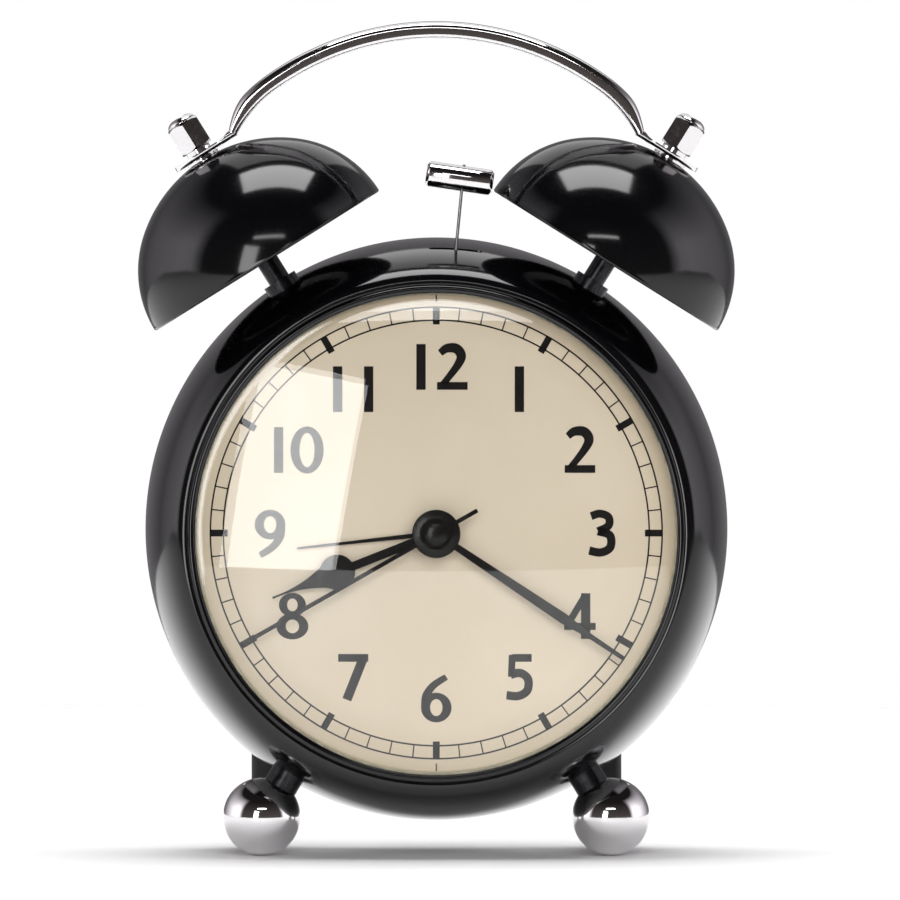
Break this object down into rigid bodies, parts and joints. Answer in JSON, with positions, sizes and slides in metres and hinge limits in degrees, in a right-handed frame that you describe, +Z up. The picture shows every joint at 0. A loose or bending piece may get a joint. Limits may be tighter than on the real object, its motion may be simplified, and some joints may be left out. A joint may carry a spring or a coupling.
{
  "type": "twin-bell quartz alarm clock",
  "caption": "Round twin-bell alarm clock with domed glass, cream dial, hands, striking hammer, arched carry handle, ball feet and a battery movement behind a removable rear cover.",
  "frame": {"origin": "on the table under the middle of the clock", "axes": "+Z up, -Y is the side with the dial, +X to the right seen from the front"},
  "size_m": [0.118, 0.0562, 0.1648],
  "materials": {
    "black_paint": "gloss",
    "chrome": "polished",
    "black_steel": "satin",
    "steel": "satin",
    "glass": "gloss",
    "rubber": "matte",
    "cream_plastic": "matte",
    "dial_print": "satin",
    "black_plastic": "matte",
    "grey_plastic": "matte",
    "copper": "satin",
    "board": "satin",
    "magnet": "satin",
    "white_plastic": "satin",
    "hand_black": "satin",
    "cell_wrap": "gloss"
  },
  "bodies": {
    "case": {"case_shell": "black_paint", "crystal": "glass", "crystal_gasket": "rubber", "dial_spacer_ring": "cream_plastic", "dial_plate": "dial_print", "inner_frame": "black_plastic", "movement_housing": "black_plastic", "movement_lid": "grey_plastic", "stator": "steel", "step_coil": "copper", "circuit_board": "board", "driver_chip": "black_plastic", "quartz_can": "steel", "frame_screws": "steel", "bell_right": "black_paint", "bell_left": "black_paint", "bell_posts": "black_steel", "post_collars": "black_steel", "post_nuts": "steel", "bell_washers": "chrome", "handle": "chrome", "cap_nuts": "chrome", "ball_foot_left": "chrome", "ball_foot_right": "chrome", "foot_studs": "steel", "foot_collars": "black_steel", "foot_nuts": "steel", "rear_cover": "black_plastic", "rear_cover_screws": "steel", "battery_cells": "cell_wrap", "battery_contacts": "steel", "rear_legs": "black_plastic", "rear_leg_pads": "rubber", "striker_bracket": "steel", "striker_core": "steel", "striker_coil": "copper", "pivot_pin": "steel", "return_spring": "steel"},
    "rotor": {"rotor": "magnet"},
    "step_wheel": {"step_wheel": "white_plastic"},
    "second_hand": {"second_wheel": "white_plastic", "second_hand": "hand_black", "hub_cap": "hand_black"},
    "third_wheel": {"third_wheel": "white_plastic"},
    "centre_wheel": {"centre_wheel": "white_plastic"},
    "minute_hand": {"cannon_pinion": "white_plastic", "minute_hand": "hand_black"},
    "hour_hand": {"hour_wheel": "white_plastic", "hour_hand": "hand_black"},
    "time_set": {"motion_wheel": "white_plastic", "time_set_knob": "black_plastic"},
    "alarm_hand": {"alarm_wheel": "white_plastic", "alarm_hand": "hand_black"},
    "alarm_set": {"alarm_pinion": "white_plastic", "alarm_set_knob": "black_plastic"},
    "alarm_switch": {"alarm_switch": "black_plastic"},
    "battery_door": {"battery_door": "black_plastic"},
    "hammer": {"armature": "steel", "hammer_wire": "steel", "hammer_head": "chrome"}
  },
  "joints": [
    {"name": "minute_spin", "type": "hinge", "parent": "case", "child": "minute_hand", "pos_m": [0, 0, 0.064], "axis": [0, 1, 0], "continuous": true},
    {"name": "hour_spin", "type": "hinge", "parent": "case", "child": "hour_hand", "pos_m": [0, 0, 0.064], "axis": [0, 1, 0], "continuous": true},
    {"name": "time_set_spin", "type": "hinge", "parent": "case", "child": "time_set", "pos_m": [0.01039, 0, 0.058], "axis": [0, 1, 0], "continuous": true},
    {"name": "second_spin", "type": "hinge", "parent": "case", "child": "second_hand", "pos_m": [0, 0, 0.064], "axis": [0, 1, 0], "continuous": true},
    {"name": "third_wheel_spin", "type": "hinge", "parent": "case", "child": "third_wheel", "pos_m": [0, 0, 0.07624], "axis": [0, 1, 0], "continuous": true},
    {"name": "centre_wheel_spin", "type": "hinge", "parent": "case", "child": "centre_wheel", "pos_m": [0, 0, 0.064], "axis": [0, 1, 0], "continuous": true},
    {"name": "step_wheel_spin", "type": "hinge", "parent": "case", "child": "step_wheel", "pos_m": [-0.00842, 0, 0.05559], "axis": [0, 1, 0], "continuous": true},
    {"name": "rotor_spin", "type": "hinge", "parent": "case", "child": "rotor", "pos_m": [-0.01201, 0, 0.04935], "axis": [0, 1, 0], "continuous": true},
    {"name": "alarm_set_spin", "type": "hinge", "parent": "case", "child": "alarm_set", "pos_m": [-0.01247, 0, 0.0712], "axis": [0, 1, 0], "continuous": true},
    {"name": "alarm_hand_spin", "type": "hinge", "parent": "case", "child": "alarm_hand", "pos_m": [0, 0, 0.064], "axis": [0, 1, 0], "continuous": true},
    {"name": "hammer_swing", "type": "hinge", "parent": "case", "child": "hammer", "pos_m": [0.0031, -0.0075, 0.1117], "axis": [0, 1, 0], "range_deg": [-24, 0], "stiffness_Nm_per_rad": 0.004, "springref_deg": 20.05},
    {"name": "alarm_switch_slide", "type": "slide", "parent": "case", "child": "alarm_switch", "axis": [1, 0, 0], "range_m": [0, 0.004]},
    {"name": "battery_door_slide", "type": "slide", "parent": "case", "child": "battery_door", "axis": [0, 0, -1], "range_m": [0, 0.008]}
  ],
  "couplings": [
    {"joint": "hour_spin", "follows": "minute_spin", "ratio": 0.083333},
    {"joint": "time_set_spin", "follows": "minute_spin", "ratio": -0.33333},
    {"joint": "third_wheel_spin", "follows": "second_spin", "ratio": -0.125},
    {"joint": "centre_wheel_spin", "follows": "second_spin", "ratio": 0.016667},
    {"joint": "step_wheel_spin", "follows": "second_spin", "ratio": -6},
    {"joint": "rotor_spin", "follows": "second_spin", "ratio": 30},
    {"joint": "alarm_hand_spin", "follows": "alarm_set_spin", "ratio": -0.5}
  ]
}
